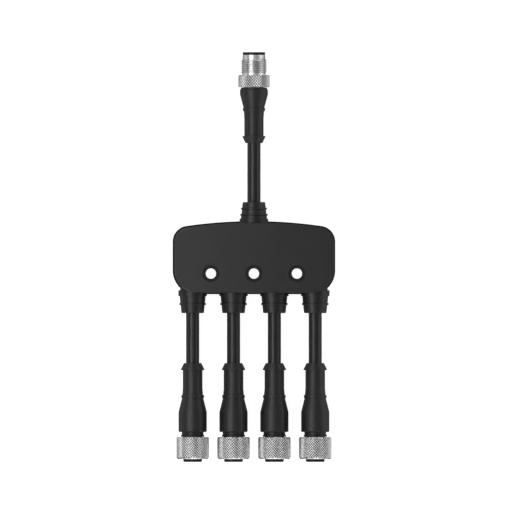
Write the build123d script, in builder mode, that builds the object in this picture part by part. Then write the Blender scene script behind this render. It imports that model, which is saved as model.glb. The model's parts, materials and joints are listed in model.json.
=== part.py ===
from build123d import *
from math import cos, radians, sin
import os

# A one-to-four splitter lead with M12 screw connectors. A two-shell junction body holds a small board.
# One cable (the trunk) leaves its crowned edge and ends in a male connector, and four cables (the
# branches) leave its straight edge and end in female ones. Each connector has a coupling ring that
# turns freely on it: an outside-threaded screw on the male, an inside-threaded nut on the females.
#
# Frame, in millimetres: x runs across the body, y along the leads with the male connector at +y, and
# z out of the body's front face. The origin is the middle mounting hole's centre on the back face.
# Turned profiles are (radius, distance) corners, the distance measured from y = 0 along the lead.

# Junction body
AXIS_Z = 8.0  # height of every lead's centre line, and of the parting plane
BODY_DEPTH = 16.0
BODY_HALF_WIDTH = 37.8
BODY_TOP = 24.4  # middle of the crowned edge
BODY_BOTTOM = -9.6
CROWN_RADIUS = 220.0
TOP_CORNER = 7.4
BOTTOM_CORNER = 11.0
FRONT_DRAFT = 5.0  # degrees that the front shell's walls lean in
BACK_DRAFT = 2.0
FRONT_EDGE = 0.6
BACK_EDGE = 0.8
WALL = 2.0
ROOF = 2.2

# Mounting holes, for M4 screws
HOLE_PITCH = 20.0
HOLE_R = 2.4
RECESS_R = 4.0
RECESS_DEPTH = 1.0
POST_R = 4.4

# Screws that close the body, from the back
SCREW_POINTS = [(-30.0, 16.4), (30.0, 16.4), (-19.0, -6.0), (19.0, -6.0)]
SCREW_R = 1.25
SCREW_CLEARANCE_R = 1.4
SCREW_HEAD_R = 2.2
SCREW_HEAD_HEIGHT = 1.6
SCREW_RECESS_R = 2.4
SCREW_RECESS_DEPTH = 2.2
SCREW_LENGTH = 10.5  # under the head
SCREW_BOSS_R = 3.0

# Board
BOARD_X = 68.0
BOARD_BOTTOM = 4.8
BOARD_TOP = 13.6
BOARD_Z = 3.4
BOARD_THICK = 1.6
BOARD_PIN_R = 0.8
SUPPORT_R = 1.6
SUPPORTS = [(-31.0, 11.4), (-18.5, 9.4), (18.5, 9.4), (31.0, 11.4)]
PAD_PITCH = 1.9
SOLDER_R = 0.75

# Leads
BRANCH_X = [-28.5, -9.5, 9.5, 28.5]
CABLE_R = 3.08
JACKET_BORE_R = 2.15
WIRE_R = 0.62
BUNDLE_R = 1.45  # the outer wires' circle inside the jacket

# Contacts, five in each connector: one in the middle and four on a circle
CONTACT_CIRCLE_R = 2.75
CONTACT_R = 0.75
PIN_R = 0.5

# Glands: seat in the body
GLAND_R = 6.65
GLAND_GROOVE_R = 5.8
BRANCH_SEAT = 4.9  # inner end of the seat
TRUNK_SEAT = 19.8

# Inside the leads, as distances along the lead. A wire's route has the contact's back, the fan's two
# ends, the end of the bundle, and the start and the end of the stretch along the board.
BRANCH_JACKET = (2.5, 62.0)
TRUNK_JACKET = (17.6, 77.2)
BRANCH_WIRES = (66.6, 65.6, 62.8, 1.9, -4.2, -6.4)
TRUNK_WIRES = (80.8, 80.0, 77.8, 17.2, 12.8, 10.8)
TRUNK_MOULD_R = 3.9

# Female connector
BRANCH_MOULD = 61.2
BRANCH_TAIL = 70.0  # back of the contact carrier
INSERT_R = 4.35
INSERT_TIP = 87.6
NECK_R = 4.55  # the nut's flange turns here
NUT_R = 7.55
NUT_BACK = 76.07
NUT_FRONT = 86.26
NUT_MINOR_R = 5.46  # crests of the M12 x 1 inside thread
O_RING_SEAT_R = 4.15
O_RING_R = 0.5
O_RING_AT = 79.5
KEYWAY = (1.2, 0.55)  # width and depth

# Male connector
TRUNK_MOULD = 76.4
TRUNK_TAIL = 81.0
SHROUD_R = 4.86
CAVITY_R = 4.46
CAVITY_FLOOR = 94.2
RIM_R = 5.25
RIM_BACK = 101.9
MALE_TIP = 103.0
SCREW_BORE_R = 4.92
THREAD_R = 6.0  # crests of the M12 x 1 outside thread
THREAD_FROM = 93.3
THREAD_TO = 99.75
COLLAR_R = 7.35
COLLAR_BACK = 86.7
COLLAR_FRONT = 92.3
KEY = (1.0, 0.5)  # width and height

# Each lead: name, x of its centre line, and +1 or -1 for its way along y
TRUNK = ("trunk", 0.0, 1)
BRANCHES = [(f"branch_{i + 1}", x, -1) for i, x in enumerate(BRANCH_X)]


def lead_plane(lead):
    """The plane of a lead's turned profiles: its local x is the radius, its local y the distance."""
    _, x, way = lead
    return Plane(origin=(x, 0, AXIS_Z), x_dir=(1, 0, 0), z_dir=(0, 0, way))


def cross_plane(lead, distance):
    """The plane across a lead, facing away from the body. Its local x is x, or -x on the trunk."""
    _, x, way = lead
    return Plane(origin=(x, way * distance, AXIS_Z), x_dir=(-way, 0, 0), z_dir=(0, way, 0))


def turn(lead, corners):
    """A solid of revolution about a lead's centre line."""
    with BuildPart() as solid:
        with BuildSketch(lead_plane(lead)):
            with BuildLine():
                Polyline(*corners, close=True)
            make_face()
        revolve(axis=Axis((lead[1], 0, AXIS_Z), (0, 1, 0)))
    return solid


def contact_spots():
    """The five contacts in a cross plane: four on the circle, 45 degrees off the key, one in the middle."""
    ring = [radians(a) for a in (135, 225, 315, 45)]
    return [(CONTACT_CIRCLE_R * cos(a), CONTACT_CIRCLE_R * sin(a)) for a in ring] + [(0, 0)]


def finish(builder, name):
    """Labels a finished sub-part and writes it under its node's name."""
    builder.part.label = name
    export_step(builder.part, f"parts/{name}.step")


# ---------------------------------------------------------------- glands


def seat_corners(seat):
    """The gland's grip in the body: a flange at the inner end and a groove for the shells' ribs."""
    return [
        (GLAND_R, seat),
        (GLAND_R, seat + 1.3),
        (GLAND_GROOVE_R, seat + 1.3),
        (GLAND_GROOVE_R, seat + 2.8),
        (GLAND_R, seat + 2.8),
    ]


def gland_seat(lead, seat):
    """The space that a gland takes in the shells."""
    return turn(lead, [(0, seat)] + seat_corners(seat) + [(GLAND_R, seat + 8), (0, seat + 8)])


def make_branch_gland(lead):
    outside = [
        (GLAND_R, 10.44),
        (6.05, 10.44),
        (5.75, 13.7),
        (6.1, 13.7),
        (6.2, 13.85),
        (6.2, 14.48),
        (6.1, 14.63),
        (5.6, 14.63),
        (5.28, 17.9),
        (5.15, 18.25),
        (4.85, 18.4),
    ]
    bore = [(CABLE_R, 18.4), (CABLE_R, BRANCH_SEAT)]
    return turn(lead, seat_corners(BRANCH_SEAT) + outside + bore)


def make_trunk_gland(lead):
    outside = [
        (GLAND_R, 25.4),
        (6.1, 25.55),
        (6.0, 26.95),
        (6.4, 27.05),
        (6.4, 27.75),
        (5.75, 27.85),
        (5.6, 29.75),
        (6.05, 29.85),
        (6.05, 30.55),
        (5.53, 30.65),
        (5.25, 32.8),
        (5.1, 33.13),
        (4.85, 33.28),
    ]
    bore = [(CABLE_R, 33.28), (CABLE_R, TRUNK_SEAT)]
    return turn(lead, seat_corners(TRUNK_SEAT) + outside + bore)


# ---------------------------------------------------------------- cables and wires


def make_jacket(lead, start, end):
    """A cable's jacket, a tube from inside the body to inside the grip."""
    corners = [(JACKET_BORE_R, start), (CABLE_R, start), (CABLE_R, end), (JACKET_BORE_R, end)]
    return turn(lead, corners)


def make_wires(lead, stations):
    """The five insulated wires of one lead, each from a contact's back to its solder pad on the board."""
    contact_end, fan_out, fan_in, bundle_end, pad_start, pad_end = stations
    _, x, way = lead
    wire_z = BOARD_Z + BOARD_THICK + WIRE_R
    pad_order = [-2, -1, 1, 2, 0]
    spots = contact_spots()
    if way > 0:
        spots = [(-u, v) for u, v in spots]
    with BuildPart() as wires:
        for (u, v), pad in zip(spots, pad_order):
            share = BUNDLE_R / CONTACT_CIRCLE_R
            pad_x = x - way * pad * PAD_PITCH
            route = [
                (x + u, way * contact_end, AXIS_Z + v),
                (x + u, way * fan_out, AXIS_Z + v),
                (x + share * u, way * fan_in, AXIS_Z + share * v),
                (x + share * u, way * bundle_end, AXIS_Z + share * v),
                (pad_x, way * pad_start, wire_z),
                (pad_x, way * pad_end, wire_z),
            ]
            if pad == 0:
                route = [route[0]] + route[3:]
            with BuildLine() as path:
                FilletPolyline(*route, radius=1.5)
            with BuildSketch(Plane(origin=route[0], z_dir=(0, -way, 0))):
                Circle(WIRE_R)
            sweep(path=path.line)
    return wires


# ---------------------------------------------------------------- female connector


def make_female_carrier(lead):
    """The moulded contact carrier: a tip with a keyway and holes, a flange, a neck and a barbed tail."""
    corners = [
        (0, INSERT_TIP),
        (INSERT_R - 0.35, INSERT_TIP),
        (INSERT_R, INSERT_TIP - 0.35),
        (INSERT_R, 80.1),
        (O_RING_SEAT_R, 80.1),
        (O_RING_SEAT_R, 78.9),
        (5.25, 78.9),
        (5.25, 77.75),
        (NECK_R, 77.75),
        (NECK_R, 72.6),
        (4.0, 72.6),
        (4.0, 71.4),
        (NECK_R, 71.4),
        (NECK_R, BRANCH_TAIL),
        (0, BRANCH_TAIL),
    ]
    _, x, way = lead
    with BuildPart() as carrier:
        add(turn(lead, corners).part)
        with BuildSketch(cross_plane(lead, BRANCH_TAIL)):
            with Locations(*contact_spots()):
                Circle(CONTACT_R)
        extrude(amount=INSERT_TIP - 0.5 - BRANCH_TAIL, mode=Mode.SUBTRACT)
        with BuildSketch(cross_plane(lead, INSERT_TIP)):
            with Locations(*contact_spots()):
                Circle(PIN_R + 0.1)
        extrude(amount=-0.5, mode=Mode.SUBTRACT)
        with BuildSketch(cross_plane(lead, INSERT_TIP)):
            with Locations((0, -INSERT_R)):
                Rectangle(KEYWAY[0], 2 * KEYWAY[1])
        extrude(amount=-(INSERT_TIP - 80.1), mode=Mode.SUBTRACT)
    return carrier


def make_sockets(lead, back, front):
    """Five socket contacts: a sleeve that takes a pin, solid behind, with its wire in the back end."""
    with BuildPart() as sockets:
        with BuildSketch(cross_plane(lead, back)):
            with Locations(*contact_spots()):
                Circle(CONTACT_R)
        extrude(amount=front - back)
        with BuildSketch(cross_plane(lead, front)):
            with Locations(*contact_spots()):
                Circle(PIN_R + 0.03)
        extrude(amount=-8, mode=Mode.SUBTRACT)
    return sockets


def make_o_ring(lead):
    """The seal on the insert, which the mating connector's rim presses on."""
    with BuildPart() as ring:
        with BuildSketch(lead_plane(lead)):
            with Locations((O_RING_SEAT_R + O_RING_R + 0.01, O_RING_AT)):
                Circle(O_RING_R)
        revolve(axis=Axis((lead[1], 0, AXIS_Z), (0, 1, 0)))
    return ring


def make_female_grip(lead):
    """The overmould behind a female connector: nose, body, taper, bead, shaft and flared cable end."""
    outside = [
        (5.2, 75.93),
        (5.38, 75.75),
        (5.38, 75.2),
        (5.0, 74.9),
        (5.0, 73.7),
        (6.15, 73.7),
        (6.53, 73.32),
        (6.53, 64.4),
        (4.93, 57.9),
        (5.15, 57.9),
        (5.25, 57.75),
        (5.25, 56.65),
        (5.15, 56.5),
        (4.8, 56.5),
        (4.53, 53.5),
        (4.53, 44.9),
        (5.45, 44.9),
        (5.45, 44.6),
        (4.0, 41.6),
    ]
    bore = [
        (CABLE_R, 41.6),
        (CABLE_R, BRANCH_MOULD),
        (NECK_R, BRANCH_MOULD),
        (NECK_R, 71.4),
        (4.0, 71.4),
        (4.0, 72.6),
        (NECK_R, 72.6),
        (NECK_R, 75.93),
    ]
    return turn(lead, outside + bore)


def make_nut(lead):
    """The coupling nut. Its thread is a plain bore at the crests of M12 x 1, and its knurl is plain."""
    flange_bore = NECK_R + 0.05
    corners = [
        (flange_bore, NUT_BACK),
        (NUT_R - 0.3, NUT_BACK),
        (NUT_R, NUT_BACK + 0.3),
        (NUT_R, NUT_FRONT - 0.5),
        (NUT_R - 0.5, NUT_FRONT),
        (NUT_MINOR_R + 0.6, NUT_FRONT),
        (NUT_MINOR_R, NUT_FRONT - 0.6),
        (NUT_MINOR_R, 77.6),
        (flange_bore, 77.6),
    ]
    return turn(lead, corners)


# ---------------------------------------------------------------- male connector


def make_male_carrier(lead):
    """The male contact carrier: a shroud with a rim round the pins, a key inside it, and a barbed tail."""
    corners = [
        (CAVITY_R + 0.1, MALE_TIP),
        (RIM_R - 0.2, MALE_TIP),
        (RIM_R, MALE_TIP - 0.2),
        (RIM_R, RIM_BACK),
        (SHROUD_R, RIM_BACK),
        (SHROUD_R, 84.0),
        (4.2, 84.0),
        (4.2, 82.8),
        (SHROUD_R, 82.8),
        (SHROUD_R, TRUNK_TAIL),
        (0, TRUNK_TAIL),
        (0, CAVITY_FLOOR),
        (CAVITY_R, CAVITY_FLOOR),
        (CAVITY_R, MALE_TIP - 0.1),
    ]
    with BuildPart() as carrier:
        add(turn(lead, corners).part)
        with BuildSketch(cross_plane(lead, CAVITY_FLOOR)):
            with Locations((0, -CAVITY_R)):
                Rectangle(KEY[0], 2 * KEY[1])
            Circle(SHROUD_R, mode=Mode.INTERSECT)
        extrude(amount=RIM_BACK - CAVITY_FLOOR)
        with BuildSketch(cross_plane(lead, TRUNK_TAIL)):
            with Locations(*contact_spots()):
                Circle(CONTACT_R)
        extrude(amount=CAVITY_FLOOR - TRUNK_TAIL, mode=Mode.SUBTRACT)
    return carrier


def make_pins(lead, back):
    """Five pin contacts with rounded tips, thicker where the carrier holds them."""
    tip = RIM_BACK - 0.5
    with BuildPart() as pins:
        with BuildSketch(cross_plane(lead, back)):
            with Locations(*contact_spots()):
                Circle(CONTACT_R)
        extrude(amount=CAVITY_FLOOR - back)
        with BuildSketch(cross_plane(lead, CAVITY_FLOOR)):
            with Locations(*contact_spots()):
                Circle(PIN_R)
        extrude(amount=tip - CAVITY_FLOOR)
        tips = pins.faces().filter_by(Axis.Y).sort_by(Axis.Y)[-5:]
        fillet(tips.edges(), PIN_R * 0.7)
    return pins


def make_male_grip(lead):
    """The overmould behind the male connector, which also keeps the coupling screw on the shroud."""
    outside = [
        (6.0, 86.55),
        (6.0, 85.8),
        (6.2, 85.8),
        (6.46, 85.5),
        (6.46, 83.3),
        (4.8, 77.05),
        (5.05, 77.05),
        (5.15, 76.9),
        (5.15, 75.75),
        (5.05, 75.6),
        (4.68, 75.6),
        (4.45, 72.0),
        (4.45, 63.97),
        (5.33, 63.97),
        (5.33, 63.67),
        (3.9, 60.67),
    ]
    bore = [
        (CABLE_R, 60.67),
        (CABLE_R, TRUNK_MOULD),
        (TRUNK_MOULD_R, TRUNK_MOULD),
        (TRUNK_MOULD_R, TRUNK_TAIL),
        (SHROUD_R, TRUNK_TAIL),
        (SHROUD_R, 82.8),
        (4.2, 82.8),
        (4.2, 84.0),
        (SHROUD_R, 84.0),
        (SHROUD_R, 86.55),
    ]
    return turn(lead, outside + bore)


def make_coupling_screw(lead):
    """The coupling screw. Its thread is a plain cylinder at the crests of M12 x 1, its knurl is plain."""
    corners = [
        (SCREW_BORE_R, COLLAR_BACK),
        (COLLAR_R - 0.3, COLLAR_BACK),
        (COLLAR_R, COLLAR_BACK + 0.3),
        (COLLAR_R, COLLAR_FRONT - 0.3),
        (COLLAR_R - 0.3, COLLAR_FRONT),
        (5.4, COLLAR_FRONT),
        (5.4, THREAD_FROM),
        (THREAD_R, THREAD_FROM),
        (THREAD_R, THREAD_TO - 0.3),
        (RIM_R, THREAD_TO),
        (RIM_R, RIM_BACK - 0.15),
        (SCREW_BORE_R, RIM_BACK - 0.15),
    ]
    return turn(lead, corners)


# ---------------------------------------------------------------- both connectors


def make_inner_mould(lead, start, end, radius, held):
    """The first moulding, which seals the joints between the wires and the contacts."""
    with BuildPart() as mould:
        add(turn(lead, [(0, start), (radius, start), (radius, end), (0, end)]).part)
        for piece in held:
            add(piece.part, mode=Mode.SUBTRACT)
        with BuildSketch(cross_plane(lead, start)):
            Circle(JACKET_BORE_R)
        extrude(amount=1.0, mode=Mode.SUBTRACT)
    return mould


# ---------------------------------------------------------------- junction body


def outline(inset):
    """The body's outline, or its inner wall's: crowned top edge, straight sides and rounded corners."""
    half = BODY_HALF_WIDTH - inset
    radius = CROWN_RADIUS - inset
    centre_y = BODY_TOP - CROWN_RADIUS
    shoulder = centre_y + (radius**2 - half**2) ** 0.5
    bottom = BODY_BOTTOM + inset
    with BuildSketch() as face:
        with BuildLine():
            RadiusArc((-half, shoulder), (half, shoulder), radius)
            Polyline((half, shoulder), (half, bottom), (-half, bottom), (-half, shoulder))
        make_face()
        fillet(face.vertices().group_by(Axis.Y)[-1], TOP_CORNER - inset)
        fillet(face.vertices().group_by(Axis.Y)[0], BOTTOM_CORNER - inset)
    return face.sketch


def cavity():
    """The hollow's outline: the inner wall, less the solid edges that hold the glands."""
    with BuildSketch() as face:
        add(outline(WALL))
        with Locations((0, BRANCH_SEAT * -1)):
            Rectangle(2 * BODY_HALF_WIDTH, 20, align=(Align.CENTER, Align.MAX), mode=Mode.SUBTRACT)
        with Locations((0, TRUNK_SEAT)):
            Rectangle(18, 20, align=(Align.CENTER, Align.MIN), mode=Mode.SUBTRACT)
    return face.sketch


def make_front_shell(seats):
    with BuildPart() as shell:
        with BuildSketch(Plane.XY.offset(AXIS_Z)):
            add(outline(0))
        extrude(amount=BODY_DEPTH - AXIS_Z)
        walls = shell.faces() - shell.faces().filter_by(Axis.Z)
        draft(walls, Plane.XY.offset(AXIS_Z), FRONT_DRAFT)
        fillet(shell.faces().sort_by(Axis.Z)[-1].edges(), FRONT_EDGE)
        with BuildSketch(Plane.XY.offset(AXIS_Z)):
            add(cavity())
            with GridLocations(HOLE_PITCH, 0, 3, 1):
                Circle(POST_R, mode=Mode.SUBTRACT)
            with Locations(*SCREW_POINTS):
                Circle(SCREW_BOSS_R, mode=Mode.SUBTRACT)
        extrude(amount=BODY_DEPTH - ROOF - AXIS_Z, mode=Mode.SUBTRACT)
        with BuildSketch(Plane.XY.offset(BOARD_Z + BOARD_THICK)):
            with Locations(*SUPPORTS):
                Circle(SUPPORT_R)
        extrude(amount=BODY_DEPTH - ROOF - BOARD_Z - BOARD_THICK)
        with BuildSketch(Plane.XY.offset(BOARD_Z + BOARD_THICK)):
            with Locations(*SUPPORTS):
                Circle(BOARD_PIN_R)
        extrude(amount=1.0, mode=Mode.SUBTRACT)
        with BuildSketch(Plane.XY.offset(AXIS_Z)):
            with GridLocations(HOLE_PITCH, 0, 3, 1):
                Circle(HOLE_R)
        extrude(amount=BODY_DEPTH - AXIS_Z, mode=Mode.SUBTRACT)
        with BuildSketch(Plane.XY.offset(BODY_DEPTH)):
            with GridLocations(HOLE_PITCH, 0, 3, 1):
                Circle(RECESS_R)
        extrude(amount=-RECESS_DEPTH, mode=Mode.SUBTRACT)
        with BuildSketch(Plane.XY.offset(AXIS_Z)):
            with Locations(*SCREW_POINTS):
                Circle(SCREW_R)
        extrude(amount=SCREW_RECESS_DEPTH + SCREW_LENGTH - AXIS_Z + 0.3, mode=Mode.SUBTRACT)
        for seat in seats:
            add(seat.part, mode=Mode.SUBTRACT)
    return shell


def make_back_shell(seats):
    with BuildPart() as shell:
        with BuildSketch():
            add(outline(0))
        extrude(amount=AXIS_Z)
        walls = shell.faces() - shell.faces().filter_by(Axis.Z)
        draft(walls, Plane.XY.offset(AXIS_Z), -BACK_DRAFT)
        fillet(shell.faces().sort_by(Axis.Z)[0].edges(), BACK_EDGE)
        with BuildSketch(Plane.XY.offset(WALL)):
            add(cavity())
            with GridLocations(HOLE_PITCH, 0, 3, 1):
                Circle(POST_R, mode=Mode.SUBTRACT)
            with Locations(*SCREW_POINTS):
                Circle(SCREW_BOSS_R, mode=Mode.SUBTRACT)
        extrude(amount=AXIS_Z - WALL, mode=Mode.SUBTRACT)
        with BuildSketch(Plane.XY.offset(WALL)):
            with Locations(*SUPPORTS):
                Circle(SUPPORT_R)
        extrude(amount=BOARD_Z - WALL)
        with BuildSketch(Plane.XY.offset(BOARD_Z)):
            with Locations(*SUPPORTS):
                Circle(BOARD_PIN_R)
        extrude(amount=BOARD_THICK + 0.9)
        with BuildSketch():
            with GridLocations(HOLE_PITCH, 0, 3, 1):
                Circle(HOLE_R)
            with Locations(*SCREW_POINTS):
                Circle(SCREW_CLEARANCE_R)
        extrude(amount=AXIS_Z, mode=Mode.SUBTRACT)
        with BuildSketch():
            with Locations(*SCREW_POINTS):
                Circle(SCREW_RECESS_R)
        extrude(amount=SCREW_RECESS_DEPTH, mode=Mode.SUBTRACT)
        for seat in seats:
            add(seat.part, mode=Mode.SUBTRACT)
    return shell


def make_shell_screws():
    """Four pan-head screws in the back, each with a cross recess."""
    head_back = SCREW_RECESS_DEPTH - SCREW_HEAD_HEIGHT
    with BuildPart() as screws:
        with BuildSketch(Plane.XY.offset(head_back)):
            with Locations(*SCREW_POINTS):
                Circle(SCREW_HEAD_R)
        extrude(amount=SCREW_HEAD_HEIGHT)
        fillet(screws.faces().filter_by(Axis.Z).group_by(Axis.Z)[0].edges(), 0.5)
        with BuildSketch(Plane.XY.offset(SCREW_RECESS_DEPTH)):
            with Locations(*SCREW_POINTS):
                Circle(SCREW_R)
        extrude(amount=SCREW_LENGTH)
        with BuildSketch(Plane.XY.offset(head_back)):
            with Locations(*SCREW_POINTS):
                Rectangle(2.2, 0.5)
                Rectangle(0.5, 2.2)
        extrude(amount=1.0, mode=Mode.SUBTRACT)
    return screws


def make_board():
    with BuildPart() as board:
        with BuildSketch(Plane.XY.offset(BOARD_Z)) as face:
            with Locations((0, BOARD_BOTTOM)):
                Rectangle(BOARD_X, BOARD_TOP - BOARD_BOTTOM, align=(Align.CENTER, Align.MIN))
            fillet(face.vertices(), 1.0)
            with Locations(*SUPPORTS):
                Circle(BOARD_PIN_R, mode=Mode.SUBTRACT)
        extrude(amount=BOARD_THICK)
    return board


def make_solder_joints(spots):
    """A dome of solder on the board at each wire's end."""
    with BuildPart() as joints:
        with Locations(*[(x, y, BOARD_Z + BOARD_THICK) for x, y in spots]):
            Sphere(SOLDER_R, arc_size1=0, align=(Align.CENTER, Align.CENTER, Align.MIN))
    return joints


# ---------------------------------------------------------------- the assembly

os.makedirs("parts", exist_ok=True)

seats = [gland_seat(TRUNK, TRUNK_SEAT)] + [gland_seat(lead, BRANCH_SEAT) for lead in BRANCHES]
finish(make_front_shell(seats), "front_shell")
finish(make_back_shell(seats), "back_shell")
finish(make_shell_screws(), "shell_screws")
finish(make_board(), "circuit_board")
pads = [pad * PAD_PITCH for pad in range(-2, 3)]
branch_joints = [(x + pad, SOLDER_R - BRANCH_WIRES[-1]) for x in BRANCH_X for pad in pads]
trunk_joints = [(pad, TRUNK_WIRES[-1] - SOLDER_R) for pad in pads]
finish(make_solder_joints(branch_joints + trunk_joints), "solder_joints")

for branch in BRANCHES:
    name = branch[0]
    jacket = make_jacket(branch, *BRANCH_JACKET)
    wires = make_wires(branch, BRANCH_WIRES)
    sockets = make_sockets(branch, BRANCH_WIRES[0], INSERT_TIP - 0.5)
    held = [jacket, wires, sockets]
    finish(make_branch_gland(branch), f"{name}_gland")
    finish(jacket, f"{name}_cable_jacket")
    finish(wires, f"{name}_wires")
    finish(sockets, f"{name}_socket_contacts")
    finish(make_inner_mould(branch, BRANCH_MOULD, BRANCH_TAIL, NECK_R, held), f"{name}_inner_mould")
    finish(make_female_carrier(branch), f"{name}_contact_carrier")
    finish(make_o_ring(branch), f"{name}_o_ring")
    finish(make_female_grip(branch), f"{name}_grip")
    finish(make_nut(branch), f"{name}_coupling_nut")

jacket = make_jacket(TRUNK, *TRUNK_JACKET)
wires = make_wires(TRUNK, TRUNK_WIRES)
pins = make_pins(TRUNK, TRUNK_WIRES[0])
held = [jacket, wires, pins]
finish(make_trunk_gland(TRUNK), "trunk_gland")
finish(jacket, "trunk_cable_jacket")
finish(wires, "trunk_wires")
finish(pins, "trunk_pin_contacts")
finish(make_inner_mould(TRUNK, TRUNK_MOULD, TRUNK_TAIL, TRUNK_MOULD_R, held), "trunk_inner_mould")
finish(make_male_carrier(TRUNK), "trunk_contact_carrier")
finish(make_male_grip(TRUNK), "trunk_grip")
finish(make_coupling_screw(TRUNK), "trunk_coupling_screw")
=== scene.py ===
"""The looks of the splitter lead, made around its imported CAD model.

Objects are in metres, in the model's own frame. Profiles of turned pieces are in millimetres. A profile's
corner is (radius, distance from the piece's end nearest the junction body, rounding of that corner)."""

import json
import math

import bmesh
import bpy
import numpy as np
from mathutils import Matrix, Vector


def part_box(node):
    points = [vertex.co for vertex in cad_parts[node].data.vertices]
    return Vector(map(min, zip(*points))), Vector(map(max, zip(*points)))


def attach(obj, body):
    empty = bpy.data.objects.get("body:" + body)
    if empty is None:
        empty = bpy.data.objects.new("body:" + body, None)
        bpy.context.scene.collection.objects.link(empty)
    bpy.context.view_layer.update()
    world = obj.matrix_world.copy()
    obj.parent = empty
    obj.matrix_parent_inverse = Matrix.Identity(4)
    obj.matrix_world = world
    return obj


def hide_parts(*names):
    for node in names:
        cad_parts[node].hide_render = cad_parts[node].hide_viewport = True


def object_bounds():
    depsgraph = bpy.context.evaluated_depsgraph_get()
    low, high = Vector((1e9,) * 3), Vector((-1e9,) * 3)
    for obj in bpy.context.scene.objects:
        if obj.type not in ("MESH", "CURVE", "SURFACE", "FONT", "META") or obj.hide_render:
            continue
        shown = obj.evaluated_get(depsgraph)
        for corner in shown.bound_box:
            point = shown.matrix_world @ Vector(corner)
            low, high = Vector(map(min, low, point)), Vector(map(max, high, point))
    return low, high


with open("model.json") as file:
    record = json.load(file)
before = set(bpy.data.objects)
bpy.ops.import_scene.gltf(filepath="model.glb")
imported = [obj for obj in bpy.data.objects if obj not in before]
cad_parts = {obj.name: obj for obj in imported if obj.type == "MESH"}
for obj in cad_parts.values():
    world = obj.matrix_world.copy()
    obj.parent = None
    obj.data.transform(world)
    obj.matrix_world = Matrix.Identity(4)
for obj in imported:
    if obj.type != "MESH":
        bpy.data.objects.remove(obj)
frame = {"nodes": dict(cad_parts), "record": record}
cad_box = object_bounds()

MM = 0.001
BRANCHES = ["branch_1", "branch_2", "branch_3", "branch_4"]
TRUNK = "trunk"
LEADS = BRANCHES + [TRUNK]


# ---------------------------------------------------------------- turned meshes

# Base colour scale of plain turned faces, where no shade is painted.
PLAIN_BRIGHTNESS = 0.95
ARC_STEP = math.radians(16)
MERGE = 2e-7


class Lead:
    """A lead's centre line, and its way along y, from the box of its grip."""

    def __init__(self, name):
        low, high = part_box(f"{name}_grip")
        self.name = name
        self.x = (low.x + high.x) / 2
        self.z = (low.z + high.z) / 2
        self.way = 1 if low.y + high.y > 0 else -1

    def span(self, node):
        """Where a node begins and ends along the lead, in metres from y = 0."""
        low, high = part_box(f"{self.name}_{node}")
        return sorted((self.way * low.y, self.way * high.y))


def rounded(corners, closed=True):
    """The points of a profile, with an arc at each corner that has a rounding."""
    points = []
    count = len(corners)
    for i, (r, s, rounding) in enumerate(corners):
        here = Vector((r, s))
        is_end = not closed and i in (0, count - 1)
        if is_end or rounding == 0:
            points.append(here)
            continue
        before = Vector(corners[i - 1][:2]) - here
        after = Vector(corners[(i + 1) % count][:2]) - here
        half = before.angle(after) / 2
        cut = min(rounding / math.tan(half), 0.45 * before.length, 0.45 * after.length)
        middle = here + (before.normalized() + after.normalized()).normalized() * cut / math.cos(half)
        start = here + before.normalized() * cut - middle
        end = here + after.normalized() * cut - middle
        sweep = math.pi - 2 * half
        steps = max(2, math.ceil(sweep / ARC_STEP))
        for k in range(steps + 1):
            t = k / steps
            arc = start * math.sin((1 - t) * sweep) + end * math.sin(t * sweep)
            points.append(middle + arc / math.sin(sweep))
    return [(p.x, p.y) for p in points]


class Turned:
    """A mesh about a lead's centre line, made of bands that share their edge rings.

    A band is a grid of rings by columns: arrays of radii and of distances from the start."""

    def __init__(self, lead, start, columns):
        self.lead = lead
        self.start = start
        self.columns = columns
        self.angles = np.linspace(0, 2 * math.pi, columns + 1)
        self.points = []
        self.painted_brightness = []
        self.faces = []

    def band(self, radius, distance, painted_brightness=PLAIN_BRIGHTNESS, crossed=False):
        """Adds a grid. A crossed one is cut along the grooves of a diamond knurl, four cells to a tooth.

        The brightness values scale the base colour: 1 on knurl crests, lower at thread roots and 0 at the
        foot of knurl grooves, where shade is painted in."""
        rings = len(radius)
        wide = (rings, self.columns + 1)
        r = np.broadcast_to(radius, wide) * MM
        s = np.broadcast_to(distance, wide) * MM + self.start
        first = len(self.points)
        x = self.lead.x + r * np.cos(self.angles)
        z = self.lead.z + r * np.sin(self.angles)
        self.points += np.stack([x, s * self.lead.way, z], axis=-1).reshape(-1, 3).tolist()
        self.painted_brightness += np.broadcast_to(painted_brightness, wide).ravel().tolist()
        for i in range(rings - 1):
            for j in range(self.columns):
                a = first + i * (self.columns + 1) + j
                b = a + 1
                c = b + self.columns + 1
                d = c - 1
                if not crossed:
                    self.faces.append((a, b, c, d))
                elif (i - j) % 4 == 0:
                    self.faces += [(a, b, c), (a, c, d)]
                else:
                    self.faces += [(a, b, d), (b, c, d)]

    def profile(self, corners, closed=True, bend=None):
        """Adds a profile that is the same all round, or that bend(radius, distance, angles) changes."""
        points = rounded(corners, closed)
        if closed:
            points.append(points[0])
        radius = np.array([[p[0]] for p in points])
        distance = np.array([[p[1]] for p in points])
        if bend:
            radius = bend(radius, distance, self.angles)
        self.band(radius, distance)

    def object(self, name, sharp_degrees=35):
        """The finished piece: bands joined at their edges, normals out, sharp edges marked."""
        mesh = bpy.data.meshes.new(name)
        mesh.from_pydata(self.points, [], self.faces)
        mesh.attributes.new("painted_brightness", "FLOAT", "POINT").data.foreach_set("value", self.painted_brightness)
        work = bmesh.new()
        work.from_mesh(mesh)
        bmesh.ops.remove_doubles(work, verts=work.verts, dist=MERGE)
        bmesh.ops.dissolve_degenerate(work, edges=work.edges, dist=MERGE / 2)
        bmesh.ops.recalc_face_normals(work, faces=work.faces)
        work.to_mesh(mesh)
        work.free()
        mesh.shade_smooth()
        mesh.set_sharp_from_angle(angle=math.radians(sharp_degrees))
        piece = bpy.data.objects.new(name, mesh)
        bpy.context.scene.collection.objects.link(piece)
        even_shading(piece)
        return piece


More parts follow.
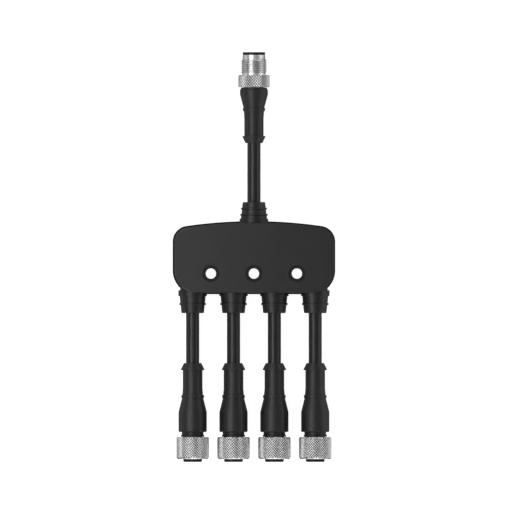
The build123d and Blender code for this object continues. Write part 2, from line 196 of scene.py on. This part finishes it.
def even_shading(piece):
    """Large faces decide the normals at their edges, so that flat faces stay flat beside roundings."""
    modifier = piece.modifiers.new("even_shading", "WEIGHTED_NORMAL")
    modifier.keep_sharp = True
    modifier.weight = 100


def stand_for(piece, node, body, look):
    """The piece takes the place of a CAD node, on its body and its material."""
    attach(piece, body)
    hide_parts(node)
    piece.data.materials.append(look)


# ---------------------------------------------------------------- knurl and thread

TOOTH_CELLS = 4
TOOTH_SIDE = [0.0, 0.85, 1.0, 0.85]
# Gain from tooth height to brightness: all but the groove feet reach full brightness, and the feet are
# darkened as painted shade.
TOOTH_SHADE_GAIN = 1.2
THREAD_STATIONS = [0.125, 0.4375, 0.5625, 0.875]
THREAD_HEIGHTS = [0.0, 1.0, 1.0, 0.0]
# Brightness at thread roots: the roots are darkened as painted shade.
THREAD_ROOT_SHADED_BRIGHTNESS = 0.6


def knurl(turned, crest, depth, begin, end, teeth):
    """A band of diamond teeth with blunt tips. Its first and last rings lie at the foot of the grooves."""
    pitch = 2 * math.pi * crest / teeth
    rings = TOOTH_CELLS * round((end - begin) / pitch)
    i = np.arange(rings + 1)[:, None]
    j = np.arange(turned.columns + 1)[None, :]
    side = np.array(TOOTH_SIDE)
    height = np.minimum(side[(i + j) % TOOTH_CELLS], side[(i - j) % TOOTH_CELLS])
    height[0] = 0
    height[-1] = 0
    radius = crest - depth * (1 - height)
    distance = begin + i * (end - begin) / rings
    # Painted shade at the foot of the grooves, full brightness on the crests.
    turned.band(radius, distance, np.clip(TOOTH_SHADE_GAIN * height, 0, 1), crossed=True)


def thread(turned, root, crest, begin, end, bevel_foot, hand):
    """A helical band of 60 degree thread, 1 mm pitch. Its rings follow the helix and stop at both ends.

    bevel_foot is the radius that a 45 degree bevel reaches at the far end. hand is 1 or -1."""
    turns = np.arange(math.floor(begin) - 2, math.ceil(end) + 2)
    along = (turns[:, None] + np.array(THREAD_STATIONS)[None, :]).reshape(-1, 1)
    lean = hand * turned.angles[None, :] / (2 * math.pi)
    distance = np.clip(along + lean, begin, end)
    height = np.interp((distance - lean) % 1.0, THREAD_STATIONS, THREAD_HEIGHTS)
    radius = root + (crest - root) * height
    bevel = bevel_foot + np.sign(crest - root) * (end - distance)
    limit = np.minimum if crest > root else np.maximum
    # Thread roots darker than crests: painted shade.
    painted_brightness = THREAD_ROOT_SHADED_BRIGHTNESS + (1 - THREAD_ROOT_SHADED_BRIGHTNESS) * height
    turned.band(limit(radius, bevel), distance, painted_brightness)


# ---------------------------------------------------------------- materials

NOISE_LOW = 0.3
NOISE_HIGH = 0.7
SOFT_SHINE = 0.44
GLOSS_CHANGE = 0.035
GROOVE_SHADE = 0.08


class Shader:
    """A Principled material whose nodes are added one call at a time, in object coordinates."""

    def __init__(self, name, colour, roughness, metallic=0.0):
        self.material = bpy.data.materials.new(name)
        self.material.use_nodes = True
        self.material.diffuse_color = (*colour, 1)
        self.nodes = self.material.node_tree.nodes
        self.links = self.material.node_tree.links
        self.surface = self.nodes["Principled BSDF"]
        self.surface.inputs["Base Color"].default_value = (*colour, 1)
        self.surface.inputs["Roughness"].default_value = roughness
        self.surface.inputs["Metallic"].default_value = metallic
        self.place = self.nodes.new("ShaderNodeTexCoord").outputs["Object"]
        self.normal = None

    def noise(self, size_mm, detail=2.0, stretch=None):
        """Noise whose features are about size_mm across. stretch is a scale along each axis."""
        place = self.place
        if stretch:
            mapping = self.nodes.new("ShaderNodeMapping")
            mapping.inputs["Scale"].default_value = stretch
            self.links.new(place, mapping.inputs["Vector"])
            place = mapping.outputs["Vector"]
        texture = self.nodes.new("ShaderNodeTexNoise")
        texture.inputs["Scale"].default_value = 1 / (size_mm * MM)
        texture.inputs["Detail"].default_value = detail
        self.links.new(place, texture.inputs["Vector"])
        return texture.outputs["Fac"]

    def ranged(self, value, low, high, from_low=NOISE_LOW, from_high=NOISE_HIGH):
        """A value spread from low to high."""
        node = self.nodes.new("ShaderNodeMapRange")
        node.inputs["From Min"].default_value = from_low
        node.inputs["From Max"].default_value = from_high
        node.inputs["To Min"].default_value = low
        node.inputs["To Max"].default_value = high
        self.links.new(value, node.inputs["Value"])
        return node.outputs["Result"]

    def colours(self, value, first, second):
        """Base colour from first to second, as the value goes over the middle of a noise's range."""
        ramp = self.nodes.new("ShaderNodeValToRGB")
        ramp.color_ramp.elements[0].position = NOISE_LOW
        ramp.color_ramp.elements[1].position = NOISE_HIGH
        ramp.color_ramp.elements[0].color = (*first, 1)
        ramp.color_ramp.elements[1].color = (*second, 1)
        self.links.new(value, ramp.inputs["Fac"])
        self.links.new(ramp.outputs["Color"], self.surface.inputs["Base Color"])
        return ramp

    def shade(self, colour, attribute, darkest):
        """Base colour that is full where the attribute is 1, and the darkest share where it is 0."""
        stored = self.nodes.new("ShaderNodeAttribute")
        stored.attribute_name = attribute
        mix = self.nodes.new("ShaderNodeVectorMath")
        mix.operation = "SCALE"
        self.links.new(colour, mix.inputs["Vector"])
        self.links.new(self.ranged(stored.outputs["Fac"], darkest, 1.0, 0.0, 1.0), mix.inputs["Scale"])
        self.links.new(mix.outputs["Vector"], self.surface.inputs["Base Color"])

    def gloss(self, value, low, high):
        """Roughness from low to high."""
        self.links.new(self.ranged(value, low, high), self.surface.inputs["Roughness"])

    def calculated(self, operation, first, second=None):
        """A Math node's result. first is an output, and second is an output, a number or nothing."""
        node = self.nodes.new("ShaderNodeMath")
        node.operation = operation
        self.links.new(first, node.inputs[0])
        if isinstance(second, float):
            node.inputs[1].default_value = second
        elif second is not None:
            self.links.new(second, node.inputs[1])
        return node.outputs["Value"]

    def relief(self, value, depth_mm):
        """Bump of that depth, on top of the bumps before it."""
        bump = self.nodes.new("ShaderNodeBump")
        bump.inputs["Distance"].default_value = depth_mm * MM
        bump.inputs["Strength"].default_value = 1.0
        self.links.new(value, bump.inputs["Height"])
        if self.normal:
            self.links.new(self.normal, bump.inputs["Normal"])
        self.normal = bump.outputs["Normal"]
        self.links.new(self.normal, self.surface.inputs["Normal"])


def scaled(colour, by):
    return tuple(c * by for c in colour)


def moulded(name, colour, roughness, grain_mm, grain_depth_mm, shine=0.5):
    """Moulded plastic or elastomer: fine grain, flow marks in the colour, worn patches in the gloss."""
    look = Shader(name, colour, roughness)
    look.colours(look.noise(9.0, 3.0), scaled(colour, 0.93), scaled(colour, 1.07))
    look.gloss(look.noise(3.5, 4.0), roughness - GLOSS_CHANGE, roughness + GLOSS_CHANGE)
    look.relief(look.noise(grain_mm, 3.0), grain_depth_mm)
    look.relief(look.noise(5.0, 1.0), 0.004)
    look.surface.inputs["Specular IOR Level"].default_value = shine
    return look.material


def make_shell_black():
    """Spark-eroded faces, matt, and smooth walls, edges and recesses between them."""
    colour = (0.009, 0.009, 0.0091)
    roughness = 0.42
    smooth_share = 0.4
    matt_from = 0.06 * MM
    matt_to = 0.01 * MM
    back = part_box("back_shell")[0].z
    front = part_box("front_shell")[1].z
    middle = (back + front) / 2
    look = Shader("shell_black", colour, roughness)
    split = look.nodes.new("ShaderNodeSeparateXYZ")
    look.links.new(look.place, split.inputs["Vector"])
    outward = look.calculated("ABSOLUTE", look.calculated("SUBTRACT", split.outputs["Z"], middle))
    face = front - middle
    matt = look.ranged(outward, smooth_share, 1.0, face - matt_from, face - matt_to)
    worn = look.ranged(look.noise(3.5, 4.0), roughness - GLOSS_CHANGE, roughness + GLOSS_CHANGE)
    look.links.new(look.calculated("MULTIPLY", worn, matt), look.surface.inputs["Roughness"])
    look.colours(look.noise(9.0, 3.0), scaled(colour, 0.93), scaled(colour, 1.07))
    look.relief(look.noise(0.16, 3.0), 0.005)
    look.relief(look.noise(5.0, 1.0), 0.004)
    return look.material


def make_cable_black():
    """Extruded jacket: faint lines along it and a soft shine."""
    colour = (0.008, 0.008, 0.0081)
    look = Shader("cable_black", colour, 0.31)
    look.surface.inputs["Specular IOR Level"].default_value = SOFT_SHINE
    look.colours(look.noise(7.0), scaled(colour, 0.92), scaled(colour, 1.08))
    look.gloss(look.noise(2.2, 3.0), 0.29, 0.34)
    look.relief(look.noise(0.5, 2.0, stretch=(1, 0.04, 1)), 0.0025)
    look.relief(look.noise(0.12, 2.0), 0.0015)
    return look.material


def make_ring_nickel():
    """Nickel plate on turned brass: rings left by the tool, painted shade in the grooves of knurls and the
    roots of threads, small changes of gloss.
    """
    colour = (0.9, 0.9, 0.9)
    look = Shader("ring_nickel", colour, 0.3, metallic=1.0)
    plate = look.colours(look.noise(0.8, 3.0), scaled(colour, 0.97), scaled(colour, 1.03))
    # Base colour darkened by the brightness attribute: painted shade in knurl grooves and thread roots.
    look.shade(plate.outputs["Color"], "painted_brightness", GROOVE_SHADE)
    look.gloss(look.noise(0.5, 4.0), 0.28, 0.31)
    look.relief(look.noise(0.9, 1.0, stretch=(0.05, 8, 0.05)), 0.0006)
    return look.material


def make_contact_gold():
    colour = (0.92, 0.66, 0.28)
    look = Shader("contact_gold", colour, 0.22, metallic=1.0)
    look.colours(look.noise(1.0, 2.0), scaled(colour, 0.93), scaled(colour, 1.04))
    look.gloss(look.noise(0.5, 3.0), 0.18, 0.27)
    look.relief(look.noise(0.3, 1.0, stretch=(0.1, 5, 0.1)), 0.0004)
    return look.material


def make_insulation(name, colour):
    look = Shader(name, colour, 0.42)
    look.colours(look.noise(3.0), scaled(colour, 0.92), scaled(colour, 1.06))
    look.gloss(look.noise(1.5, 3.0), 0.38, 0.47)
    look.relief(look.noise(0.3, 2.0, stretch=(1, 0.05, 1)), 0.002)
    return look.material


def make_board_green():
    """Solder mask over copper tracks that run along x, with the glass weave faintly raised."""
    look = Shader("board_green", (0.012, 0.12, 0.045), 0.3)
    tracks = look.nodes.new("ShaderNodeTexWave")
    tracks.wave_type = "BANDS"
    tracks.bands_direction = "Y"
    tracks.inputs["Scale"].default_value = 260.0
    look.links.new(look.place, tracks.inputs["Vector"])
    ramp = look.colours(tracks.outputs["Fac"], (0.01, 0.085, 0.035), (0.02, 0.17, 0.06))
    ramp.color_ramp.elements[0].position = 0.48
    ramp.color_ramp.elements[1].position = 0.52
    look.gloss(look.noise(2.0, 3.0), 0.26, 0.34)
    look.relief(ramp.outputs["Color"], 0.03)
    look.relief(look.noise(0.4, 2.0), 0.004)
    return look.material


def make_solder_tin():
    colour = (0.72, 0.72, 0.73)
    look = Shader("solder_tin", colour, 0.28, metallic=1.0)
    look.colours(look.noise(0.5, 3.0), scaled(colour, 0.85), scaled(colour, 1.08))
    look.gloss(look.noise(0.4, 3.0), 0.2, 0.38)
    look.relief(look.noise(0.35, 2.0), 0.006)
    return look.material


def make_screw_steel():
    """Zinc-plated steel, a little blue."""
    colour = (0.58, 0.6, 0.62)
    look = Shader("screw_steel", colour, 0.34, metallic=1.0)
    look.colours(look.noise(0.8, 3.0), scaled(colour, 0.88), scaled(colour, 1.06))
    look.gloss(look.noise(0.6, 4.0), 0.28, 0.42)
    look.relief(look.noise(0.2, 3.0), 0.002)
    return look.material


looks = {
    "shell_black": make_shell_black(),
    "gland_black": moulded("gland_black", (0.008, 0.008, 0.0081), 0.38, 0.25, 0.003, SOFT_SHINE),
    "cable_black": make_cable_black(),
    "grip_black": moulded("grip_black", (0.01, 0.01, 0.0101), 0.42, 0.2, 0.004, SOFT_SHINE),
    "carrier_black": moulded("carrier_black", (0.004, 0.004, 0.004), 0.45, 0.3, 0.002, 0.25),
    "ring_nickel": make_ring_nickel(),
    "contact_gold": make_contact_gold(),
    "mould_white": moulded("mould_white", (0.62, 0.6, 0.53), 0.45, 0.4, 0.004),
    "seal_rubber": moulded("seal_rubber", (0.018, 0.018, 0.018), 0.55, 0.15, 0.003),
    "board_green": make_board_green(),
    "solder_tin": make_solder_tin(),
    "screw_steel": make_screw_steel(),
}
insulations = [
    make_insulation("insulation_brown", (0.2, 0.085, 0.035)),
    make_insulation("insulation_white", (0.75, 0.74, 0.7)),
    make_insulation("insulation_grey", (0.25, 0.255, 0.26)),
    make_insulation("insulation_blue", (0.03, 0.12, 0.42)),
    make_insulation("insulation_black", (0.02, 0.02, 0.021)),
]


# ---------------------------------------------------------------- grips

MOULDING_COLUMNS = 144
JACKET_COLUMNS = 120
JACKET_R = 3.08
FEMALE_GRIP = [
    (JACKET_R, 0.0, 0.1),
    (4.0, 0.0, 0.2),
    (5.45, 3.0, 0.08),
    (5.45, 3.3, 0.08),
    (4.53, 3.3, 0.25),
    (4.53, 11.9, 8.0),
    (4.8, 14.9, 0.15),
    (5.15, 14.9, 0.12),
    (5.25, 15.05, 0.3),
    (5.25, 16.15, 0.3),
    (5.15, 16.3, 0.12),
    (4.93, 16.3, 0.15),
    (6.53, 22.8, 2.5),
    (6.53, 31.72, 0.3),
    (6.15, 32.1, 0.3),
    (5.0, 32.1, 0.3),
    (5.0, 33.3, 0.2),
    (5.38, 33.6, 0.1),
    (5.38, 34.15, 0.1),
    (5.2, 34.33, 0.1),
    (4.55, 34.33, 0),
    (4.55, 31.0, 0),
    (4.0, 31.0, 0),
    (4.0, 29.8, 0),
    (4.55, 29.8, 0),
    (4.55, 19.6, 0),
    (JACKET_R, 19.6, 0),
]
MALE_GRIP = [
    (JACKET_R, 0.0, 0.1),
    (3.9, 0.0, 0.2),
    (5.33, 3.0, 0.08),
    (5.33, 3.3, 0.08),
    (4.45, 3.3, 0.25),
    (4.45, 11.33, 8.0),
    (4.68, 14.93, 0.15),
    (5.05, 14.93, 0.12),
    (5.15, 15.08, 0.3),
    (5.15, 16.23, 0.3),
    (5.05, 16.38, 0.12),
    (4.8, 16.38, 0.15),
    (6.46, 22.63, 2.0),
    (6.46, 24.83, 0.25),
    (6.2, 25.13, 0.2),
    (6.0, 25.13, 0.15),
    (6.0, 25.88, 0.12),
    (4.86, 25.88, 0),
    (4.86, 23.33, 0),
    (4.2, 23.33, 0),
    (4.2, 22.13, 0),
    (4.86, 22.13, 0),
    (4.86, 20.33, 0),
    (3.9, 20.33, 0),
    (3.9, 15.73, 0),
    (JACKET_R, 15.73, 0),
]


def mould_line(radius, distance, angles):
    """The thin ridge that the mould's halves leave at both sides of a piece's outside."""
    ridge_height = 0.035
    ridge_spread = 0.0006
    side = np.exp(-(((np.abs(np.cos(angles)) - 1) / ridge_spread) ** 2))
    outside = radius > JACKET_R + 0.7
    return radius + ridge_height * side[None, :] * outside


def make_grip(lead, corners):
    grip = Turned(lead, lead.span("grip")[0], MOULDING_COLUMNS)
    grip.profile(corners, bend=mould_line)
    piece = grip.object(f"{lead.name}_grip_moulding")
    stand_for(piece, f"{lead.name}_grip", "splitter", looks["grip_black"])


# ---------------------------------------------------------------- glands

GLAND_SEAT = [(6.65, 0.0, 0.1), (6.65, 1.3, 0.1), (5.8, 1.3, 0.1), (5.8, 2.8, 0.1), (6.65, 2.8, 0.1)]
BRANCH_GLAND = [
    (6.65, 5.54, 0.12),
    (6.05, 5.54, 0.15),
    (5.75, 8.8, 0.12),
    (6.1, 8.8, 0.1),
    (6.2, 8.95, 0.2),
    (6.2, 9.58, 0.2),
    (6.1, 9.73, 0.1),
    (5.6, 9.73, 0.12),
    (5.28, 13.0, 0.25),
    (5.15, 13.35, 0.15),
    (4.85, 13.5, 0.2),
    (JACKET_R, 13.5, 0.12),
    (JACKET_R, 0.0, 0),
]
TRUNK_GLAND = [
    (6.65, 5.6, 0.12),
    (6.1, 5.75, 0.15),
    (6.0, 7.15, 0.12),
    (6.4, 7.25, 0.2),
    (6.4, 7.95, 0.2),
    (5.75, 8.05, 0.12),
    (5.6, 9.95, 0.12),
    (6.05, 10.05, 0.2),
    (6.05, 10.75, 0.2),
    (5.53, 10.85, 0.12),
    (5.25, 13.0, 0.3),
    (5.1, 13.33, 0.15),
    (4.85, 13.48, 0.2),
    (JACKET_R, 13.48, 0.12),
    (JACKET_R, 0.0, 0),
]


def make_gland(lead, corners):
    gland = Turned(lead, lead.span("gland")[0], MOULDING_COLUMNS)
    gland.profile(GLAND_SEAT + corners)
    piece = gland.object(f"{lead.name}_gland_moulding")
    stand_for(piece, f"{lead.name}_gland", "splitter", looks["gland_black"])


# ---------------------------------------------------------------- cables

JACKET_BORE = 2.15
CORES = 5
LAY_MM = 55.0
LAY_RIPPLE_MM = 0.012


def core_lay(radius, distance, angles):
    """The slight waviness that the twisted cores give the jacket."""
    wave = np.cos(CORES * (angles[None, :] - 2 * math.pi * distance / LAY_MM))
    return radius + LAY_RIPPLE_MM * wave * (radius > JACKET_BORE + 0.1)


def make_jacket(lead):
    near, far = lead.span("cable_jacket")
    length = (far - near) / MM
    rings = round(length)
    outside = JACKET_R - LAY_RIPPLE_MM
    corners = [(JACKET_BORE, 0, 0.05), (outside, 0, 0.1)]
    corners += [(outside, length * k / rings, 0) for k in range(1, rings)]
    corners += [(outside, length, 0.1), (JACKET_BORE, length, 0.05)]
    jacket = Turned(lead, near, JACKET_COLUMNS)
    jacket.profile(corners, bend=core_lay)
    piece = jacket.object(f"{lead.name}_cable")
    stand_for(piece, f"{lead.name}_cable_jacket", "splitter", looks["cable_black"])


# ---------------------------------------------------------------- coupling nuts

KNURL_DEPTH = 0.26
KNURL_EDGE = 0.15
NUT_R = 7.55
NUT_TEETH = 40
NUT_BORE = 5.46
NUT_THREAD_ROOT = 6.05
BEVEL_LENGTH = 0.5
BEVEL_DEPTH = 0.42
MOUTH_R = 6.21
MOUTH_LENGTH = 0.15
FLANGE_BORE = 4.6
FLANGE_LENGTH = 1.53
THREAD_RELIEF = 0.6


def make_nut(lead):
    """Knurled outside, bevelled front, M12 x 1 thread inside, and the flange that turns on the neck."""
    near, far = lead.span("coupling_nut")
    length = (far - near) / MM
    foot = NUT_R - KNURL_DEPTH
    nut = Turned(lead, near, TOOTH_CELLS * NUT_TEETH)
    knurl(nut, NUT_R, KNURL_DEPTH, KNURL_EDGE, length - BEVEL_LENGTH, NUT_TEETH)
    thread_begin = FLANGE_LENGTH + THREAD_RELIEF
    thread_end = length - MOUTH_LENGTH
    front = [
        (foot, length - BEVEL_LENGTH, 0),
        (foot - BEVEL_DEPTH, length, 0.06),
        (MOUTH_R, length, 0.06),
        (NUT_THREAD_ROOT, thread_end, 0),
    ]
    nut.profile(front, closed=False)
    thread(nut, NUT_THREAD_ROOT, NUT_BORE, thread_begin, thread_end, NUT_THREAD_ROOT, -lead.way)
    inside = [
        (NUT_THREAD_ROOT, thread_begin, 0),
        (NUT_THREAD_ROOT, FLANGE_LENGTH, 0.15),
        (FLANGE_BORE, FLANGE_LENGTH, 0.1),
        (FLANGE_BORE, 0.0, 0.1),
        (foot - KNURL_EDGE, 0.0, 0.04),
        (foot, KNURL_EDGE, 0),
    ]
    nut.profile(inside, closed=False)
    piece = nut.object(f"{lead.name}_knurled_nut")
    look = looks["ring_nickel"]
    stand_for(piece, f"{lead.name}_coupling_nut", f"{lead.name}_nut", look)


# ---------------------------------------------------------------- coupling screw

COLLAR_R = 7.35
COLLAR_TEETH = 36
COLLAR_LENGTH = 5.6
RELIEF_R = 5.4
THREAD_R = 6.0
THREAD_ROOT = 5.39
THREAD_BEGIN = 6.6
THREAD_END = 13.05
NOSE_R = 5.25
SCREW_BORE = 4.92


def make_screw(lead):
    """Knurled collar, relief, M12 x 1 thread and plain nose."""
    near, far = lead.span("coupling_screw")
    length = (far - near) / MM
    foot = COLLAR_R - KNURL_DEPTH
    screw = Turned(lead, near, TOOTH_CELLS * COLLAR_TEETH)
    knurl(screw, COLLAR_R, KNURL_DEPTH, KNURL_EDGE, COLLAR_LENGTH - KNURL_EDGE, COLLAR_TEETH)
    relief = [
        (foot, COLLAR_LENGTH - KNURL_EDGE, 0),
        (foot - KNURL_EDGE, COLLAR_LENGTH, 0.04),
        (RELIEF_R, COLLAR_LENGTH, 0.15),
        (RELIEF_R, THREAD_BEGIN, 0),
    ]
    screw.profile(relief, closed=False)
    thread(screw, THREAD_ROOT, THREAD_R, THREAD_BEGIN, THREAD_END, NOSE_R, -lead.way)
    rest = [
        (NOSE_R, THREAD_END, 0),
        (NOSE_R, length, 0.12),
        (SCREW_BORE, length, 0.05),
        (SCREW_BORE, 0.0, 0.1),
        (foot - KNURL_EDGE, 0.0, 0.04),
        (foot, KNURL_EDGE, 0),
    ]
    screw.profile(rest, closed=False)
    piece = screw.object(f"{lead.name}_knurled_screw")
    look = looks["ring_nickel"]
    stand_for(piece, f"{lead.name}_coupling_screw", f"{lead.name}_screw", look)


# ---------------------------------------------------------------- CAD nodes that stay

SAME_PLACE = 1e-7
CONTACT_CIRCLE_INSIDE = 1.5 * MM


def islands(mesh):
    """For each face, a number that all the faces of its separate solid share."""
    owner = list(range(len(mesh.vertices)))
    place = {}
    for i, v in enumerate(mesh.vertices):
        key = tuple(round(c / SAME_PLACE) for c in v.co)
        owner[i] = place.setdefault(key, i)

    def root(i):
        while owner[i] != i:
            owner[i] = owner[owner[i]]
            i = owner[i]
        return i

    for face in mesh.polygons:
        first = root(face.vertices[0])
        for v in face.vertices:
            owner[root(v)] = first
    return [root(face.vertices[0]) for face in mesh.polygons]


def colour_wires(node, lead):
    """Each wire's insulation in the colour of its contact: the four on the circle, then the middle one."""
    mesh = node.data
    for look in insulations:
        mesh.materials.append(look)
    solids = islands(mesh)
    ends = {}
    for face, solid in zip(mesh.polygons, solids):
        if solid not in ends or face.center.y * lead.way > ends[solid][0]:
            ends[solid] = (face.center.y * lead.way, face.center.x - lead.x, face.center.z - lead.z)
    colour = {}
    for solid, (_, x, z) in ends.items():
        on_circle = math.hypot(x, z) > CONTACT_CIRCLE_INSIDE
        colour[solid] = (2 * (z < 0) + (x > 0)) if on_circle else 4
    for face, solid in zip(mesh.polygons, solids):
        face.material_index = colour[solid]


def dress_cad_nodes(leads):
    """Materials for the CAD nodes whose shapes stay."""
    slots = {part["node"]: part["material_slot"] for part in frame["record"]["subparts"]}
    for name, node in frame["nodes"].items():
        if node.hide_render:
            continue
        node.data.materials.clear()
        if name.endswith("_wires"):
            colour_wires(node, leads[name.removesuffix("_wires")])
        else:
            node.data.materials.append(looks[slots[name]])
        even_shading(node)


# ---------------------------------------------------------------- stage


def make_floor(low):
    """A white slab, with light of its own, so that it stays white beside the object.

    Glossy rays pass it, so that it isn't mirrored along the edges of every round piece."""
    width = 8.0
    thickness = 1.0
    gap = 0.0002
    work = bmesh.new()
    bmesh.ops.create_cube(work, size=1.0)
    bmesh.ops.scale(work, vec=(width, width, thickness), verts=work.verts)
    bmesh.ops.translate(work, vec=(0, 0, low.z - gap - thickness / 2), verts=work.verts)
    mesh = bpy.data.meshes.new("floor")
    work.to_mesh(mesh)
    work.free()
    floor = bpy.data.objects.new("floor", mesh)
    floor.visible_glossy = False
    bpy.context.scene.collection.objects.link(floor)
    look = Shader("floor_white", (0.2, 0.2, 0.2), 0.9)
    look.surface.inputs["Emission Color"].default_value = (1, 1, 1, 1)
    look.surface.inputs["Emission Strength"].default_value = 0.96
    mesh.materials.append(look.material)


def make_softbox(name, aim, tilt, about, distance, width, length, radiance):
    """A rectangular light that faces a point from above, tilted about the x or the y axis."""
    light = bpy.data.lights.new(name, "AREA")
    light.shape = "RECTANGLE"
    light.size = width
    light.size_y = length
    light.energy = radiance * math.pi * width * length
    lamp = bpy.data.objects.new(name, light)
    turn = Matrix.Rotation(math.radians(tilt), 4, about)
    lamp.matrix_world = Matrix.Translation(aim) @ turn @ Matrix.Translation((0, 0, distance))
    bpy.context.scene.collection.objects.link(lamp)


def make_world():
    """Dim greys by height: lighter at the horizon and overhead, dark in between and below."""
    world = bpy.data.worlds.new("studio")
    world.use_nodes = True
    nodes = world.node_tree.nodes
    links = world.node_tree.links
    place = nodes.new("ShaderNodeTexCoord")
    split = nodes.new("ShaderNodeSeparateXYZ")
    height = nodes.new("ShaderNodeMapRange")
    height.inputs["From Min"].default_value = -1.0
    ramp = nodes.new("ShaderNodeValToRGB")
    links.new(place.outputs["Generated"], split.inputs["Vector"])
    links.new(split.outputs["Z"], height.inputs["Value"])
    links.new(height.outputs["Result"], ramp.inputs["Fac"])
    stops = [(-1.0, 0.0), (-0.85, 0.03), (-0.6, 0.48), (0.0, 0.62), (0.28, 0.6)]
    stops += [(0.38, 0.05), (0.62, 0.06), (0.7, 0.2), (1.0, 0.36)]
    elements = ramp.color_ramp.elements
    for up, _ in stops[1:-1]:
        elements.new((up + 1) / 2)
    for element, (_, level) in zip(elements, stops):
        element.color = (level, level, level, 1)
    links.new(ramp.outputs["Color"], nodes["Background"].inputs["Color"])
    nodes["Background"].inputs["Strength"].default_value = 1.0
    bpy.context.scene.world = world


def make_camera(low, high):
    """Straight down on the front face, without perspective."""
    view_width = 0.23814
    aside = Vector((0.00096, 0.00048, 0))
    camera = bpy.data.objects.new("camera", bpy.data.cameras.new("camera"))
    camera.data.type = "ORTHO"
    camera.data.ortho_scale = view_width
    camera.location = (low + high) / 2 + aside + Vector((0, 0, 0.2))
    bpy.context.scene.collection.objects.link(camera)
    bpy.context.scene.camera = camera


# ---------------------------------------------------------------- the whole

leads = {name: Lead(name) for name in LEADS}
for name in BRANCHES:
    make_grip(leads[name], FEMALE_GRIP)
    make_gland(leads[name], BRANCH_GLAND)
    make_jacket(leads[name])
    make_nut(leads[name])
make_grip(leads[TRUNK], MALE_GRIP)
make_gland(leads[TRUNK], TRUNK_GLAND)
make_jacket(leads[TRUNK])
make_screw(leads[TRUNK])
dress_cad_nodes(leads)

low, high = cad_box
centre = (low + high) / 2
make_floor(low)
make_softbox("key", centre, -29, "Y", 0.3, 0.18, 0.9, 2.2)
make_softbox("fill", centre, 70, "Y", 0.6, 0.45, 1.2, 0.6)
make_softbox("front", centre, 80, "X", 0.6, 1.2, 0.3, 1.0)
make_softbox("back", centre, -80, "X", 0.6, 1.2, 0.3, 0.7)
make_world()
make_camera(low, high)
bpy.context.scene.view_settings.view_transform = "Standard"
